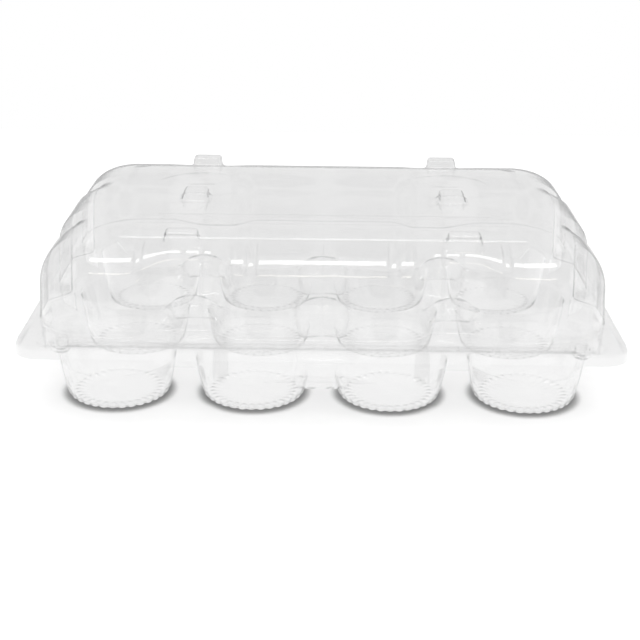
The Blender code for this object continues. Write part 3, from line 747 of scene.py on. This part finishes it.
def floor_material():
    """White floor with a painted contact shadow. Where it is seen through the carton it is a painted grey
    glow, brighter under the carton's front.
    """
    material = bpy.data.materials.new("studio_floor")
    material.use_nodes = True
    tree = material.node_tree
    lit = tree.nodes["Principled BSDF"]
    lit.inputs["Roughness"].default_value = 0.7
    lit.inputs["Specular IOR Level"].default_value = 0.0
    coords = node(tree, "ShaderNodeTexCoord", -900, -300).outputs["Object"]
    # Painted contact shadow: ambient occlusion darkens the floor's own colour near the carton, instead of a
    # shadow cast by the lamps.
    contact = node(tree, "ShaderNodeAmbientOcclusion", -600, 0, Distance=PAINTED_SHADOW_REACH)
    contact.samples = 8
    painted_shade = ramp_value(tree, contact.outputs["AO"], *PAINTED_SHADOW_RANGE, PAINTED_SHADOW_DARK, 1.0)
    grain = ramp_value(tree, noise(tree, coords, 30.0, 3.0), 0.2, 0.8, 0.97, 1.0)
    # The floor's colour is its random grain times the painted shade.
    colour = tree.nodes.new("ShaderNodeCombineColor")
    for channel in ("Red", "Green", "Blue"):
        tree.links.new(math_node(tree, "MULTIPLY", painted_shade, grain), colour.inputs[channel])
    tree.links.new(colour.outputs[0], lit.inputs["Base Color"])
    # Painted grey glow where the floor is seen through the carton, instead of its lit colour, painted
    # brighter under the front.
    grey = tree.nodes.new("ShaderNodeEmission")
    place = tree.nodes.new("ShaderNodeSeparateXYZ")
    tree.links.new(coords, place.inputs[0])
    from_front = math_node(tree, "SUBTRACT", place.outputs["Y"], PAINTED_FRONT_GLOW_Y)
    off_front = math_node(tree, "ABSOLUTE", from_front)
    painted_glow_strength = ramp_value(tree, off_front, 0.0, 0.2, PAINTED_FRONT_GLOW, BACKDROP)
    tree.links.new(painted_glow_strength, grey.inputs["Strength"])
    choose = tree.nodes.new("ShaderNodeMixShader")
    tree.links.new(seen_through(tree), choose.inputs["Fac"])
    tree.links.new(lit.outputs[0], choose.inputs[1])
    tree.links.new(grey.outputs[0], choose.inputs[2])
    tree.links.new(choose.outputs[0], tree.nodes["Material Output"].inputs["Surface"])
    return material


# ---- Stage ----

# The floor is this far under the cups, so that the two faces don't touch
FLOOR_GAP = 0.4 * MM
# How far the world's light on the floor goes beyond the backdrop's grey, as a part of the way to white
FLOOR_LIGHTING = 1.6


def build_softbox(name, location, target, size, power, colour):
    light = bpy.data.lights.new(name, "AREA")
    light.shape = "RECTANGLE"
    light.size, light.size_y = size
    light.energy = power
    light.color = colour
    lamp = bpy.data.objects.new(name, light)
    lamp.location = location
    lamp.rotation_euler = (Vector(target) - Vector(location)).to_track_quat("-Z", "Y").to_euler()
    bpy.context.scene.collection.objects.link(lamp)


def build_floor():
    """A flat floor just under the cups, with a painted shadow and a painted glow in its material."""
    mesh = bpy.data.meshes.new("studio_floor")
    mesh.from_pydata([(-0.9, -0.7, 0), (0.9, -0.7, 0), (0.9, 0.6, 0), (-0.9, 0.6, 0)], [], [(0, 1, 2, 3)])
    floor = bpy.data.objects.new("studio_floor", mesh)
    floor.location.z = -FLOOR_GAP
    bpy.context.scene.collection.objects.link(floor)
    mesh.materials.append(floor_material())


def build_world():
    """White where the camera sees it directly, and the backdrop's grey through the carton."""
    world = bpy.data.worlds.new("studio")
    bpy.context.scene.world = world
    world.use_nodes = True
    tree = world.node_tree
    tree.nodes.clear()
    output = tree.nodes.new("ShaderNodeOutputWorld")
    path = tree.nodes.new("ShaderNodeLightPath")
    backdrop = tree.nodes.new("ShaderNodeBackground")
    backdrop.inputs["Color"].default_value = (1, 1, 1, 1)
    direct = math_node(tree, "SUBTRACT", path.outputs["Is Camera Ray"], seen_through(tree))
    lighting = math_node(tree, "MULTIPLY", path.outputs["Is Diffuse Ray"], FLOOR_LIGHTING)
    brighter = math_node(tree, "MAXIMUM", direct, lighting)
    strength = math_node(tree, "ADD", math_node(tree, "MULTIPLY", brighter, 1 - BACKDROP), BACKDROP)
    tree.links.new(strength, backdrop.inputs["Strength"])
    tree.links.new(backdrop.outputs[0], output.inputs["Surface"])


# The camera: its lens and upward shift, its angles in degrees, and where it stands
LENS, LENS_SHIFT = 73.09125, 0.00615625
LOOK_DOWN, LOOK_RIGHT, TILT = 21.34, -0.26, 0.64
EYE = (2.1 * MM, -791.8 * MM, 275.2 * MM + FLANGE_Z)


def build_camera():
    """The viewpoint: about 0.8 m in front of the carton's middle, looking 21 degrees down."""
    camera = bpy.data.cameras.new("camera")
    camera.sensor_width = 36.0
    camera.lens = LENS
    camera.shift_y = LENS_SHIFT
    seen = bpy.data.objects.new("camera", camera)
    bpy.context.scene.collection.objects.link(seen)
    pitch, yaw, roll = (math.radians(angle) for angle in (LOOK_DOWN, LOOK_RIGHT, TILT))
    forward = Vector((math.sin(yaw) * math.cos(pitch), math.cos(yaw) * math.cos(pitch), -math.sin(pitch)))
    right = Vector((math.cos(yaw), -math.sin(yaw), 0))
    up = right.cross(forward)
    right, up = (
        right * math.cos(roll) + up * math.sin(roll),
        up * math.cos(roll) - right * math.sin(roll),
    )
    matrix = seen.matrix_world.to_3x3()
    matrix.col[0], matrix.col[1], matrix.col[2] = right, up, -forward
    seen.matrix_world = matrix.to_4x4()
    seen.location = EYE
    bpy.context.scene.camera = seen


def main():
    scene = bpy.context.scene
    scene.view_settings.view_transform = "Standard"
    scene.cycles.transparent_max_bounces = 48
    scene.cycles.max_bounces = 16
    scene.cycles.glossy_bounces = 6
    scene.cycles.caustics_reflective = False
    scene.cycles.caustics_refractive = False
    # The lid's edge is darker, so that its outline shows.
    tray_material = clear_sheet("clear_tray", haze=0.012, waves=0.3, dark_from=0.8, edge=(0.68, 0.68, 0.69))
    lid_material = clear_sheet("clear_lid", haze=0.008, waves=0.25, dark_from=0.75, edge=(0.2, 0.2, 0.21))
    build_tray(tray_material)
    build_lid(lid_material)
    build_lugs(lid_material)
    build_studs(lid_material)
    build_hinge(lid_material)
    build_floor()
    build_softbox("overhead_softbox", (0, -0.22, 1.5), (0, 0, 0), (1.0, 0.24), 2.6, (1, 1, 1))
    build_softbox("front_strip", (0, -0.95, 1.25), (0, 0, 0.05), (1.1, 0.05), 0.5, (1.0, 0.95, 0.85))
    build_world()
    build_camera()


main()
bpy.context.view_layer.update()
